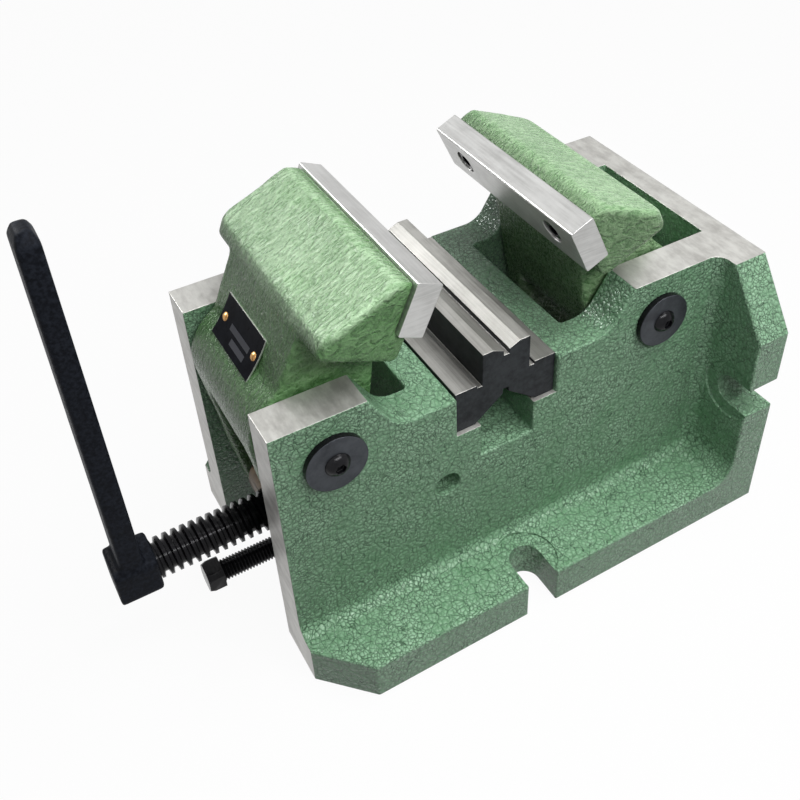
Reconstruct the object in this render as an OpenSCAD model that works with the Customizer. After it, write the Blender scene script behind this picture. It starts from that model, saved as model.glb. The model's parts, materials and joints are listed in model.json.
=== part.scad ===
// Lever vise for round bars: two bell-crank jaws close over a reversible V-block.
// Sizes are in millimetres. X runs along the lead screw, away from the crank, Y is
// across the vise and Z is up. The origin is on the resting face, below the middle
// of the V-block, where the planes of symmetry of the two jaws and cheeks cross.

/* [Base casting] */
// Reach of the base from the V-block's middle to the crank end
base_left = 103; // [98:0.5:112]
// Reach of the base from the V-block's middle to the end plate's outer face
base_right = 126.6; // [124:0.2:140]
// Clear gap between the two cheeks
cheek_gap = 69; // [66:0.5:76]
// Thickness of each cheek
cheek_t = 17.5; // [14:0.5:20]
// Height of the painted deck beside the V-block
deck_z = 115.4; // [108:0.2:118]
// Height of the machined pads on top of the cheeks
pad_z = 134.5; // [129:0.5:142]
// Distance from the V-block's middle to the start of a pad
pad_inner = 62.8; // [58:0.2:66]
// Distance from the V-block's middle to the foot of the ramp below a pad
ramp_foot = 50.6; // [46:0.2:54]
// Radius of the hollow at the foot of the ramp
ramp_r = 12; // [2:0.5:16]
// Distance from the V-block's middle to the inner wall of each well
well_inner = 38; // [36.5:0.5:42]
// Radius in the upright corners of the wells
well_r = 1.5; // [0.5:0.5:6]
// Radius of the fillets between cheek, foot and end plate
cast_r = 6; // [2:0.5:9]

/* [Feet] */
// Width of the casting across both feet
foot_w = 165.4; // [156:0.2:180]
// Thickness of the feet
foot_t = 19.7; // [14:0.1:24]
// Length of the corner cut on a foot's crank end
foot_cut_x = 20; // [8:1:34]
// Width of the corner cut on a foot's crank end
foot_cut_y = 21; // [8:1:26]
// Width of the clamping slots in the feet and in the end plate
slot_w = 15; // [10:0.5:18]
// Distance from the mid plane to the round end's centre of a foot slot
foot_slot_y = 69; // [67:0.5:72]
// Diameter of the spot faces round the clamping slots
spot_d = 28.5; // [22:0.5:32]
// Depth of the spot faces
spot_depth = 0.8; // [0.3:0.1:2]

/* [End plate] */
// Thickness of the end plate's two ears
end_t = 17.3; // [14:0.1:20]
// Thickness of the end wall between the cheeks
end_wall_t = 11.7; // [8:0.1:13]
// Width of the end plate along its top edge
end_top_w = 123.4; // [112:0.2:150]
// Height at which the ears reach their full width
ear_z = 104; // [92:1:118]
// Distance from the mid plane to the round end's centre of an ear slot
ear_slot_y = 71; // [68:0.5:73]
// Height of the ear slots
ear_slot_z = 69.1; // [55:0.1:80]
// Radius of the fillet between a foot and the end plate
end_r = 12; // [4:0.5:18]
// Height of the sill below the window in the end wall
sill_z = 22; // [14:1:28]
// Height of the window's top edge
lintel_z = 82; // [80:1:92]

/* [Block seat] */
// Width of the cross slot that holds the V-block
seat_w = 49; // [46:0.2:52]
// Height of the ledges that the V-block stands on
seat_z = 95.4; // [92:0.2:98]
// Width of the groove between the ledges
groove_w = 26; // [24.5:0.5:30]
// Height of the groove's floor
groove_z = 78.4; // [75:0.2:79]
// Height of the ceiling of the screw tunnel below the groove
tunnel_z = 66; // [64:0.5:68]
// Thickness of the tunnel's floor
floor_t = 9; // [6:0.5:10]
// Diameter of the cored hole across the base
core_d = 11.6; // [8:0.2:13]
// Distance of the cored hole from the V-block's middle
core_x = 29.6; // [28.5:0.1:31]
// Height of the cored hole
core_z = 69.7; // [69:0.1:74]

/* [V-block] */
// Length of the V-block
block_len = 100; // [90:1:104]
// Clearance between the V-block and each side of its slot
block_gap = 0.3; // [0.1:0.1:0.6]
// Height of the V-block's shoulders above its foot
shoulder_h = 20.9; // [19:0.1:22]
// Width of the rib along the V-block
rib_w = 22.8; // [20:0.2:24]
// Height of the rib's top above the V-block's foot
rib_top = 35.8; // [33:0.2:36]
// Width across the mouth of the small vee in the rib
small_vee_w = 12.7; // [9:0.1:15]
// Depth of the small vee, without its relief slot
small_vee_d = 2.3; // [1.5:0.1:3.5]
// Width across the mouth of the large vee in the foot
large_vee_w = 30; // [24:0.5:36]
// Depth of the large vee, without its relief slot
large_vee_d = 10.6; // [8:0.1:12]
// Width of the relief slots
relief_w = 2.6; // [1.6:0.1:3.2]
// Depth of the relief slots and notches
relief_d = 2.4; // [1.2:0.1:3]

/* [Jaw levers] */
// Distance from the V-block's middle to each pivot
pivot_x = 78.5; // [77.5:0.1:80]
// Height of the pivots
pivot_z = 112.6; // [110:0.1:114]
// Diameter of the pivot pins
pivot_d = 20; // [16:0.5:24]
// Radius of a lever's hub
hub_r = 25.4; // [24:0.2:26.4]
// Width of a lever between the cheeks
lever_w = 65; // [60:0.5:65.5]
// Lean of the jaw faces from upright, as the jaws stand now
jaw_tilt = 24.4; // [10:0.1:30]
// Height from the pivot to the foot of a jaw plate
plate_rise = 52.75; // [50:0.05:56]
// Distance of a jaw plate's back from the upright through the pivot
plate_back = 9.8; // [7:0.1:12]
// Thickness of the lip below a jaw plate
lip_t = 12.2; // [9:0.1:14]
// Reach of the lip in front of the plate's back
lip_reach = 5.4; // [3:0.1:8]
// Depth of the head behind a jaw plate
head_depth = 30; // [26:0.5:34]
// Height of the head's upright back above its underside
head_back_h = 8.2; // [5:0.1:14]
// Width of the flat along the head's top
crown_w = 7.6; // [4:0.1:12]
// Height by which a jaw plate stands above the head
plate_proud = 1.6; // [0.5:0.1:4]
// Length of the head
head_len = 97; // [88:0.5:99]
// Radius of the head's rounded edges
head_r = 3; // [1:0.5:4]
// Distance from the pivot's upright to the back of the neck
neck_back = 20.2; // [17:0.2:21.4]
// Height of the thinnest part of the neck above the pivot
neck_rise = 30; // [27:0.5:34]

/* [Forks and nuts] */
// Height of the lead screw's axis, as the jaws stand now
screw_z = 41.8; // [41:0.1:43]
// Thickness of each fork arm
fork_t = 12; // [9:0.5:13]
// Radius of a fork arm's eye
eye_r = 14.5; // [13:0.5:15]
// Diameter of a trunnion nut
nut_d = 30; // [27:0.5:32]
// Diameter of a nut pin's pilot
nut_pin_d = 12; // [8:0.5:13]
// Depth of a nut pin's pilot in the nut
nut_pin_in = 8.5; // [6:0.5:9.5]
// Gap between a nut and each fork arm
nut_gap = 0.4; // [0.2:0.1:1]

/* [Jaw plates] */
// Length of a jaw plate
plate_len = 100; // [90:1:104]
// Height of a jaw plate
plate_h = 23; // [20:0.5:25]
// Thickness of a jaw plate
plate_t = 11.1; // [9:0.1:12]
// Spacing of a jaw plate's two screws
plate_screw_gap = 64.8; // [50:0.2:76]
// Depth of the screws below the plate's top edge
plate_screw_down = 10.7; // [9:0.1:13]
// Depth of the screws in the lever's head
plate_screw_in = 8.5; // [6:0.5:10]
// Chamfer round a jaw plate
plate_chamfer = 0.5; // [0.2:0.1:1]

/* [Lead screw] */
// Diameter over the thread's crests
screw_d = 18; // [16:0.5:18]
// Distance from one crest to the next
thread_pitch = 4; // [3:0.5:5]
// Depth of the thread
thread_depth = 2.25; // [1.5:0.05:2.5]
// Width of a crest
crest_w = 1.4; // [0.8:0.1:1.6]
// Reach of the screw's thread from the V-block's middle to the crank
screw_left = 144.9; // [142:0.1:150]
// Reach of the screw from the V-block's middle to its far end
screw_right = 122; // [118:0.5:123]
// Diameter of the plain neck at the screw's middle
neck_d = 14; // [11:0.5:14.5]
// Length of the plain neck
neck_len = 22; // [18:0.5:26]
// Width of the plain collar at each end of the neck
collar_w = 3; // [2:0.5:5]
// Width of the square that carries the crank
square_w = 12; // [9:0.5:12.5]

/* [Screw yoke] */
// Thickness of the yoke's two uprights
upright_t = 10; // [7:0.5:11]
// Length of the yoke's uprights along the screw
upright_len = 32; // [28:1:38]
// Clear gap between the uprights
upright_gap = 34; // [31:0.5:36]
// Height of the uprights' top
upright_z = 60; // [57:0.5:62]
// Thickness of the yoke's foot
yoke_foot_t = 11; // [9:0.5:12]
// Reach of the yoke's foot beside the uprights, away from the crank
yoke_toe = 15; // [13:0.5:18]
// Height of the neck block
neck_block_h = 26; // [24:0.5:28]
// Height of the tongues that slide in the uprights
tongue_h = 16; // [12:0.5:18]
// Width of the tongues along the screw
tongue_w = 17.4; // [12:0.2:19]
// Clearance along the screw between a tongue and its slot
tongue_gap = 0.5; // [0.3:0.1:1]

/* [Crank] */
// Width and height of the crank's square hub
hub_w = 20; // [18:0.5:24]
// Length of the hub along the screw
hub_len = 18.6; // [15:0.1:22]
// Distance from the screw's axis to the crank's tip
crank_reach = 174; // [120:1:200]
// Thickness of the crank's arm at the hub
arm_t = 9.8; // [8:0.1:13]
// Thickness of the crank's arm at its tip
arm_tip_t = 8.6; // [7:0.1:11]
// Width of the crank's arm at the hub
arm_w = 18; // [12:0.5:18.5]
// Width of the crank's arm at its tip
arm_tip_w = 15; // [10:0.5:16]
// Shift of the arm's foot on the hub, away from the vise
arm_shift = 0.8; // [-1:0.1:1]
// Chamfer along the edges of the arm
arm_chamfer = 0.7; // [0.4:0.1:1.5]
// Chamfer along the edges of the hub
hub_chamfer = 2; // [1:0.1:3]

/* [Centring bolt] */
// Diameter of the square-head bolt
bolt_d = 10; // [8:0.5:11]
// Height of the bolt's axis
bolt_z = 15.4; // [15:0.1:16]
// Width across the flats of the bolt's head
bolt_head_w = 11.8; // [11:0.1:17]
// Width of the flats cut on the corners of the bolt's head
bolt_corner = 2; // [1:0.1:2.4]
// Thickness of the bolt's head
bolt_head_t = 7.6; // [6:0.1:11]
// Distance from the V-block's middle to the underside of the bolt's head
bolt_left = 118.9; // [112:0.1:126]
// Turn of the bolt's head about its axis
bolt_turn = 3; // [0:1:44]
// Thickness of the wall that the bolt is threaded through
bolt_wall_t = 12; // [8:0.5:14]
// Height of the wall that the bolt is threaded through
bolt_wall_z = 27; // [25:0.5:28]

/* [Fasteners] */
// Diameter of the washers over the pivot pins
washer_d = 26; // [24:0.5:34]
// Thickness of the washers over the pivot pins
washer_t = 3; // [2:0.1:4]
// Head diameter of the button-head screws
button_d = 11; // [9:0.5:14]
// Head height of the button-head screws
button_h = 3.4; // [3:0.1:5]
// Thread diameter of the plate, pivot, yoke and crank screws
screw_m = 6; // [5:0.5:6]
// Head diameter of the socket-head screws
cap_d = 10; // [9:0.5:10.5]
// Head height of the socket-head screws
cap_h = 6; // [5:0.25:6.5]
// Width across the flats of the hexagon sockets
hex_w = 4; // [3:0.25:5]
// Radial clearance of screws in their holes
hole_gap = 0.15; // [0.1:0.05:0.3]
// Radial clearance of running fits
run_gap = 0.06; // [0.02:0.01:0.1]
// Radial clearance of fixed fits
fixed_gap = 0.02; // [0.01:0.01:0.05]
// Thread diameter of the neck block screws
small_m = 4; // [3:0.5:4]

/* [Name plate] */
// Length of the name plate across the neck
name_len = 36; // [33:0.5:44]
// Height of the name plate along the neck's hollow
name_h = 19; // [14:0.5:20]
// Thickness of the name plate
name_t = 0.8; // [0.5:0.1:1.2]
// Distance of the name plate's middle from the mid plane
name_y = 2.8; // [-8:0.2:8]
// Spacing of the two rivets
rivet_gap = 28.6; // [20:0.2:29]
// Head diameter of the rivets
rivet_d = 3; // [2.4:0.1:4]

/* [Hidden] */
$fn = 72;
eps = 0.02;
paint = [0.30, 0.47, 0.33];
ground = [0.72, 0.71, 0.69];
steel = [0.50, 0.50, 0.52];
black = [0.10, 0.10, 0.12];
bronze = [0.62, 0.45, 0.22];

cheek_in = cheek_gap / 2;
cheek_out = cheek_in + cheek_t;
foot_half = foot_w / 2;
end_in_x = base_right - end_t;
end_wall_x = base_right - end_wall_t;
ramp_rise = pad_z - deck_z;
ramp_angle = atan2(ramp_rise, pad_inner - ramp_foot);
ramp_tangent = ramp_r * tan(ramp_angle / 2);

plate_top = plate_rise + plate_h;
head_top = plate_top - plate_proud;
head_low = plate_rise - lip_t;
head_back = plate_back - head_depth;
head_front = plate_back + lip_reach;
lever_half = lever_w / 2;
fork_in = lever_half - fork_t;
nut_half = fork_in - nut_gap;
nut_drop = pivot_z - screw_z;
plate_screw_z = plate_top - plate_screw_down;
hub_blend = 0.3;
blend_r = hub_r - hub_blend;
neck_sq = neck_back * neck_back + neck_rise * neck_rise;
neck_r = (neck_sq - blend_r * blend_r) / 2 / (blend_r - neck_back);
name_top = 1;
plate_ease = 0.04;
name_arc = name_h / neck_r * 180 / PI;
cap_seat = cap_h + 0.6;

block_half = seat_w / 2 - block_gap;
bolt_wall_x = well_inner - 2;
yoke_half = upright_len / 2;
yoke_y = upright_gap / 2 + upright_t;
neck_block_x = neck_len / 2 - 0.3;
neck_block_y = upright_gap / 2 - 0.4;
neck_screw_y = (neck_block_y + neck_d / 2) / 2;
neck_screw_z = neck_block_h / 2 - small_m - 0.5;
yoke_screw_x = yoke_half + yoke_toe - cap_d / 2 - 2;
yoke_screw_y = upright_gap / 2 - cap_d / 2;
crank_x = screw_left + hub_len / 2;
square_len = hub_len - 3.5;
set_screw_len = hub_w / 2 - square_w / 2 - 1;

// Moves a child that is drawn on the crank side to one side of the vise
module side(s) {
    if (s < 0) children();
    else mirror([1, 0, 0]) children();
}

// Puts a child that is drawn about a lever's pivot in its place
module at_pivot(s) {
    side(s) translate([-pivot_x, 0, pivot_z]) children();
}

// Puts a child that is drawn about the pivot, with upright jaw faces, in its place
module at_head(s) {
    at_pivot(s) rotate([0, jaw_tilt, 0]) children();
}

// Extrudes an outline drawn in X and Z across the vise, between two Y values
module across(y0, y1) {
    translate([0, y1, 0]) rotate([90, 0, 0]) linear_extrude(y1 - y0) children();
}

// Extrudes an outline drawn in Y and Z along the vise, between two X values
module along(x0, x1) {
    translate([x0, 0, 0]) rotate([90, 0, 90]) linear_extrude(x1 - x0) children();
}

// A round bar along X
module bar_x(x0, x1, d) {
    translate([x0, 0, 0]) rotate([0, 90, 0]) cylinder(h = x1 - x0, d = d);
}

// A round bar along Y
module bar_y(y0, y1, d) {
    translate([0, y1, 0]) rotate([90, 0, 0]) cylinder(h = y1 - y0, d = d);
}

// The section of a concave fillet that fills the corner at the origin
module cove(r) {
    difference() {
        translate([-eps, -eps]) square(r + eps);
        translate([r, r]) circle(r);
    }
}

// A hexagon across its flats
module hexagon(w) {
    circle(d = w / cos(30), $fn = 6);
}

// A socket-head screw along Z, its head's seat at the origin and its shank below
module cap_screw(m, d, h, len) {
    difference() {
        union() {
            cylinder(h = h, d = d);
            translate([0, 0, -len]) cylinder(h = len + eps, d = m);
        }
        translate([0, 0, h * 0.5]) linear_extrude(h) hexagon(d * 0.5);
    }
}

// A button-head screw along Z, its head's seat at the origin and its shank below
module button_screw(m, d, h, len) {
    dome_r = (d * d / 4 + h * h) / (2 * h);
    difference() {
        union() {
            intersection() {
                translate([0, 0, h - dome_r]) sphere(dome_r);
                cylinder(h = h, d = d);
            }
            translate([0, 0, -len]) cylinder(h = len + eps, d = m);
        }
        translate([0, 0, h * 0.35]) linear_extrude(h) hexagon(hex_w);
    }
}

// The side outline of a cheek, with a hollow ramp up to the pad at each end
module cheek_outline() {
    polygon([
        [-base_left, 0], [base_right - eps, 0], [base_right - eps, pad_z], [pad_inner, pad_z],
        [ramp_foot, deck_z], [-ramp_foot, deck_z], [-pad_inner, pad_z], [-base_left, pad_z],
    ]);
    for (s = [-1, 1]) mirror([s < 0 ? 1 : 0, 0]) difference() {
        polygon([
            [ramp_foot - ramp_tangent, deck_z - eps],
            [ramp_foot + eps, deck_z - eps],
            [ramp_foot + ramp_tangent * cos(ramp_angle), deck_z + ramp_tangent * sin(ramp_angle)],
        ]);
        translate([ramp_foot - ramp_tangent, deck_z + ramp_r]) circle(ramp_r);
    }
}

// The plan of one foot, its crank end cut off at a slant
module foot_outline() {
    polygon([
        [-base_left, cheek_out - eps], [base_right - eps, cheek_out - eps],
        [base_right - eps, foot_half], [foot_cut_x - base_left, foot_half],
        [-base_left, foot_half - foot_cut_y],
    ]);
}

// The end plate seen from the end, with sloping shoulders
module end_outline() {
    polygon([
        [-foot_half, 0], [foot_half, 0], [foot_half, ear_z], [end_top_w / 2, pad_z],
        [-end_top_w / 2, pad_z], [-foot_half, ear_z],
    ]);
}

// One side of the casting: cheek, foot and the fillets between them
module base_side() {
    across(cheek_in, cheek_out) cheek_outline();
    linear_extrude(foot_t) foot_outline();
    translate([0, cheek_out, foot_t]) along(-base_left, end_in_x + eps) cove(cast_r);
    translate([end_in_x, 0, foot_t]) mirror([1, 0, 0]) across(cheek_out, foot_half) cove(end_r);
    translate([end_in_x, cheek_out, foot_t - eps]) linear_extrude(pad_z - foot_t + eps)
        mirror([1, 0]) cove(cast_r);
    for (s = [-1, 1]) translate([s * well_inner, cheek_in, tunnel_z])
        linear_extrude(deck_z - tunnel_z) mirror([s < 0 ? 1 : 0, 0]) mirror([0, 1]) cove(well_r);
}

// The screw tunnel's outline, its mouths opened out for the swing of the forks
module tunnel_outline() {
    mouth = 6;
    polygon([
        [-well_inner - 1, floor_t], [well_inner + 1, floor_t],
        [well_inner + 1, tunnel_z + mouth], [well_inner - mouth + 1, tunnel_z],
        [mouth - well_inner - 1, tunnel_z], [-well_inner - 1, tunnel_z + mouth],
    ]);
}

// A clamping slot with its spot face, seen along the clamping bolt
module slot_plan(reach) {
    circle(d = slot_w);
    translate([0, -slot_w / 2]) square([reach, slot_w]);
}

module base_casting() color(paint) difference() {
    union() {
        for (s = [0, 1]) mirror([0, s, 0]) base_side();
        translate([-well_inner, -cheek_in - eps, 0])
            cube([2 * well_inner, cheek_gap + 2 * eps, deck_z]);
        along(end_in_x, base_right) end_outline();
    }
    difference() {
        across(-cheek_in, cheek_in) tunnel_outline();
        translate([-bolt_wall_x, -cheek_in - 1, 0]) cube([bolt_wall_t, cheek_gap + 2, bolt_wall_z]);
    }
    translate([end_in_x - 1, -cheek_in, -1])
        cube([end_wall_x - end_in_x + 1, cheek_gap, pad_z + 2]);
    translate([end_wall_x - 1, -cheek_in, sill_z])
        cube([end_wall_t + 2, cheek_gap, lintel_z - sill_z]);
    translate([-seat_w / 2, -cheek_out - 1, seat_z]) cube([seat_w, 2 * cheek_out + 2, pad_z]);
    translate([-groove_w / 2, -cheek_out - 1, groove_z]) cube([groove_w, 2 * cheek_out + 2, pad_z]);
    for (s = [-1, 1]) translate([s * pivot_x, 0, pivot_z])
        bar_y(-cheek_out - 1, cheek_out + 1, pivot_d + 2 * fixed_gap);
    for (s = [0, 1]) mirror([0, s, 0]) {
        translate([-core_x, 0, core_z]) bar_y(cheek_in, cheek_out + 1, core_d);
        translate([0, foot_slot_y, -1]) linear_extrude(foot_t + 2)
            rotate(90) slot_plan(foot_half - foot_slot_y + 1);
        translate([0, foot_slot_y, foot_t - spot_depth])
            cylinder(h = spot_depth + cast_r, d = spot_d);
        translate([0, ear_slot_y, ear_slot_z]) {
            along(end_in_x - 1, base_right + 1) slot_plan(foot_half - ear_slot_y + 1);
            bar_x(end_in_x - cast_r, end_in_x + spot_depth, spot_d);
        }
        translate([yoke_screw_x, yoke_screw_y, -1])
            cylinder(h = floor_t + 2, d = screw_m + 2 * hole_gap);
    }
    translate([0, 0, bolt_z]) bar_x(-bolt_wall_x - 1, bolt_wall_t - bolt_wall_x + 1,
        bolt_d + 2 * hole_gap);
}

// A pivot pin across both cheeks, drilled and tapped at its ends
module pivot_pin(s) {
    pin_end = cheek_out - 0.3;
    translate([s * pivot_x, 0, pivot_z]) difference() {
        bar_y(-pin_end, pin_end, pivot_d);
        for (y = [-pin_end - 1, pin_end - 15])
            bar_y(y, y + 16, screw_m + 2 * hole_gap);
    }
}

module left_pivot_pin() color(steel) pivot_pin(-1);

module right_pivot_pin() color(steel) pivot_pin(1);

// Places a child, drawn along Z from the cheek's face outwards, at the four pin ends
module at_pin_ends() {
    for (s = [-1, 1]) for (m = [0, 1]) mirror([0, m, 0])
        translate([s * pivot_x, cheek_out, pivot_z]) rotate([-90, 0, 0]) children();
}

module pivot_washers() color(black) at_pin_ends() difference() {
    cylinder(h = washer_t, d = washer_d);
    translate([0, 0, -1]) cylinder(h = washer_t + 2, d = screw_m + 2 * hole_gap);
}

module pivot_screws() color(black) at_pin_ends()
    translate([0, 0, washer_t]) button_screw(screw_m, button_d, button_h, washer_t + 12);

// The head of a lever, seen along the pivot
module head_outline() {
    difference() {
        polygon([
            [plate_back, head_low], [plate_back, head_top], [plate_back - crown_w, head_top],
            [head_back, head_low + head_back_h], [head_back, head_low],
        ]);
        translate([head_back, head_low]) corner_cut(head_r);
    }
    translate([plate_back - eps, head_low]) difference() {
        square([lip_reach + eps, lip_t]);
        translate([lip_reach + eps, 0]) mirror([1, 0]) corner_cut(head_r);
    }
}

// What is cut from a square corner at the origin to round it
module corner_cut(r) {
    difference() {
        translate([-1, -1]) square(r + 1);
        translate([r, r]) circle(r);
    }
}

// The plan of a head, with rounded ends
module head_plan() {
    head_end = head_len / 2;
    width = head_front - head_back;
    translate([head_back, -head_end]) difference() {
        square([width, head_len]);
        for (m = [0, 1]) translate([0, m * head_len]) mirror([0, m]) corner_cut(head_r * 1.5);
    }
}

// The neck of a lever, seen along the pivot: straight in front and hollow behind
module neck_outline() {
    reach = sqrt(head_front * head_front + head_low * head_low);
    touch = atan2(head_low, head_front) - acos(blend_r / reach);
    difference() {
        polygon([
            [0, 0], [blend_r * cos(touch), blend_r * sin(touch)],
            [head_front, head_low + eps], [head_back, head_low + head_back_h - 1],
            [head_back, 0], [-hub_r, 0],
        ]);
        translate([-neck_back - neck_r, neck_rise]) circle(neck_r, $fn = 180);
    }
}

// A fork arm, seen along the pivot: tangents join the hub to the eye
module fork_outline() {
    turn = asin((hub_r - eye_r) / nut_drop);
    polygon([
        [hub_r * cos(turn), hub_r * sin(-turn)],
        [eye_r * cos(turn), -nut_drop - eye_r * sin(turn)],
        [-eye_r * cos(turn), -nut_drop - eye_r * sin(turn)],
        [-hub_r * cos(turn), hub_r * sin(-turn)],
    ]);
    circle(hub_r);
    translate([0, -nut_drop]) circle(eye_r);
}

// A bell-crank lever about its pivot: leaning head above, upright fork below
module jaw_lever(s) {
    at_pivot(s) difference() {
        union() {
            bar_y(-lever_half, lever_half, 2 * hub_r);
            rotate([0, jaw_tilt, 0]) {
                across(-lever_half, lever_half) neck_outline();
                intersection() {
                    across(-head_len / 2, head_len / 2) head_outline();
                    linear_extrude(head_top + 1) head_plan();
                }
            }
            for (m = [0, 1]) mirror([0, m, 0]) across(fork_in, lever_half) fork_outline();
        }
        bar_y(-lever_half - 1, lever_half + 1, pivot_d + 2 * run_gap);
        translate([0, 0, -nut_drop])
            bar_y(-lever_half - 1, lever_half + 1, nut_pin_d + 2 + 2 * fixed_gap);
        rotate([0, jaw_tilt, 0]) for (y = [-1, 1])
            translate([plate_back, y * plate_screw_gap / 2, plate_screw_z])
                bar_x(-plate_screw_in - 0.5, 1, screw_m + 2 * hole_gap);
    }
}

module left_jaw_lever() color(paint) jaw_lever(-1);

module right_jaw_lever() color(paint) jaw_lever(1);

// A ground jaw plate with two counterbored holes
module jaw_plate(s) {
    c = plate_chamfer;
    at_head(s) difference() {
        across(-plate_len / 2, plate_len / 2) translate([plate_back, plate_rise]) polygon([
            [0, c], [c, 0], [plate_t - c, 0], [plate_t, c],
            [plate_t, plate_h - c], [plate_t - c, plate_h], [c, plate_h], [0, plate_h - c],
        ]);
        for (y = [-1, 1]) translate([plate_back, y * plate_screw_gap / 2, plate_screw_z]) {
            bar_x(-1, plate_t + 1, screw_m + 2 * hole_gap);
            bar_x(plate_t - cap_seat, plate_t + 1, cap_d + 1);
        }
    }
}

module left_jaw_plate() color(ground) jaw_plate(-1);

module right_jaw_plate() color(ground) jaw_plate(1);

// The two screws of a jaw plate
module plate_screws(s) {
    at_head(s) for (y = [-1, 1])
        translate([plate_back + plate_t - cap_seat, y * plate_screw_gap / 2, plate_screw_z])
            rotate([0, 90, 0]) cap_screw(screw_m, cap_d, cap_h, plate_t - cap_seat + plate_screw_in);
}

module left_plate_screws() color(black) plate_screws(-1);

module right_plate_screws() color(black) plate_screws(1);

// Puts a child on the axis of the hollow behind the left lever's neck
module at_neck_hollow() {
    at_head(-1) translate([-neck_back - neck_r, name_y, neck_rise]) children();
}

module name_plate() color(black)
    at_neck_hollow() across(-name_len / 2, name_len / 2) difference() {
        intersection() {
            circle(neck_r - eps, $fn = 180);
            rotate(-name_top) polygon([
                [0, 0], [2 * neck_r * cos(name_arc), -2 * neck_r * sin(name_arc)], [2 * neck_r, 0],
            ]);
        }
        circle(neck_r - name_t, $fn = 180);
        translate([neck_back + neck_r, -neck_rise]) circle(hub_r + plate_ease);
    }

module name_plate_rivets() color(bronze)
    at_neck_hollow() for (y = [-1, 1]) translate([0, y * rivet_gap / 2, 0])
        rotate([0, name_top + name_arc / 2, 0]) translate([neck_r - name_t - plate_ease, 0, 0]) intersection() {
            translate([rivet_d * 0.4, 0, 0]) sphere(rivet_d * 0.65);
            bar_x(-rivet_d, 0, rivet_d);
        }

// A vee with a relief slot, its mouth's middle at the origin and its point downwards
module vee(w, d) {
    translate([-relief_w / 2, -d - relief_d]) square([relief_w, d + relief_d]);
    polygon([[-w / 2, eps], [-relief_w / 2, -d], [relief_w / 2, -d], [w / 2, eps]]);
}

// The end outline of the V-block: a large vee below, a small vee in the rib above
module block_outline() {
    difference() {
        union() {
            translate([-block_half, 0]) square([2 * block_half, shoulder_h]);
            translate([-rib_w / 2, 0]) square([rib_w, rib_top]);
        }
        translate([0, rib_top]) vee(small_vee_w, small_vee_d);
        rotate(180) vee(large_vee_w, large_vee_d);
        for (x = [-rib_w / 2 - relief_d, rib_w / 2]) translate([x, shoulder_h - relief_d / 2])
            square([relief_d, relief_d]);
    }
}

module v_block() color(steel)
    translate([0, 0, seat_z]) across(-block_len / 2, block_len / 2) block_outline();

// Half the section of one thread crest, from the root out
module crest_section() {
    root_r = screw_d / 2 - thread_depth;
    flank = (thread_pitch - crest_w) / 2 * 0.62;
    polygon([
        [0, -crest_w / 2 - flank], [root_r, -crest_w / 2 - flank], [screw_d / 2, -crest_w / 2],
        [screw_d / 2, crest_w / 2], [root_r, crest_w / 2 + flank], [0, crest_w / 2 + flank],
    ]);
}

// A threaded stretch along X, its crests drawn as rings
module threaded(x0, x1) {
    root_d = screw_d - 2 * thread_depth;
    crests = floor((x1 - x0) / thread_pitch);
    start = x0 + thread_pitch / 2;
    bar_x(x0, x1, root_d);
    rotate([0, 90, 0]) for (i = [0:crests - 1])
        translate([0, 0, start + i * thread_pitch]) rotate_extrude() crest_section();
}

module lead_screw() color(black) translate([0, 0, screw_z]) {
    translate([-screw_left - square_len, -square_w / 2, -square_w / 2])
        cube([square_len + 1, square_w, square_w]);
    threaded(-screw_left, -neck_len / 2 - collar_w);
    threaded(neck_len / 2 + collar_w, screw_right);
    bar_x(-neck_len / 2 - 1, neck_len / 2 + 1, neck_d);
    for (s = [-1, 1]) translate([s * (neck_len + collar_w) / 2, 0, 0])
        bar_x(-collar_w / 2, collar_w / 2, screw_d);
}

// A trunnion nut about its own middle: a cross bar with the screw's bore
module trunnion_nut(s) {
    pin_bore = nut_pin_d + 2 * run_gap;
    side(s) translate([-pivot_x, 0, screw_z]) difference() {
        bar_y(-nut_half, nut_half, nut_d);
        bar_x(-nut_d, nut_d, screw_d + 2 * run_gap);
        for (m = [0, 1]) mirror([0, m, 0])
            bar_y(nut_half - nut_pin_in - 0.5, nut_half + 1, pin_bore);
    }
}

module left_nut() color(bronze) trunnion_nut(-1);

module right_nut() color(bronze) trunnion_nut(1);

// The two shouldered pins that hang a nut in its fork
module nut_pins(s) {
    outer = lever_half - 0.3;
    side(s) translate([-pivot_x, 0, screw_z]) for (m = [0, 1]) mirror([0, m, 0]) difference() {
        union() {
            bar_y(fork_in, outer, nut_pin_d + 2);
            bar_y(nut_half - nut_pin_in, fork_in + eps, nut_pin_d);
        }
        translate([0, outer + 1, 0]) rotate([90, 0, 0]) linear_extrude(5) hexagon(hex_w + 1);
    }
}

module left_nut_pins() color(steel) nut_pins(-1);

module right_nut_pins() color(steel) nut_pins(1);

// One half of the block round the screw's neck, with a tongue on each side
module neck_block(up) {
    tongue_y = yoke_y - 0.5;
    low = up ? 0.1 : -neck_block_h / 2;
    high = up ? neck_block_h / 2 : -0.1;
    tongue_low = up ? 0.1 : -tongue_h / 2;
    tongue_high = up ? tongue_h / 2 : -0.1;
    translate([0, 0, screw_z]) difference() {
        union() {
            translate([-neck_block_x, -neck_block_y, low])
                cube([2 * neck_block_x, 2 * neck_block_y, high - low]);
            translate([-tongue_w / 2, -tongue_y, tongue_low])
                cube([tongue_w, 2 * tongue_y, tongue_high - tongue_low]);
        }
        bar_x(-neck_len, neck_len, neck_d + 2 * run_gap);
        for (y = [-neck_screw_y, neck_screw_y]) translate([0, y, 0]) {
            translate([0, 0, -neck_block_h / 2 + 3])
                cylinder(h = neck_block_h, d = small_m + 2 * hole_gap);
            translate([0, 0, neck_screw_z]) cylinder(h = neck_block_h, d = small_m * 1.75 + 0.6);
        }
    }
}

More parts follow.
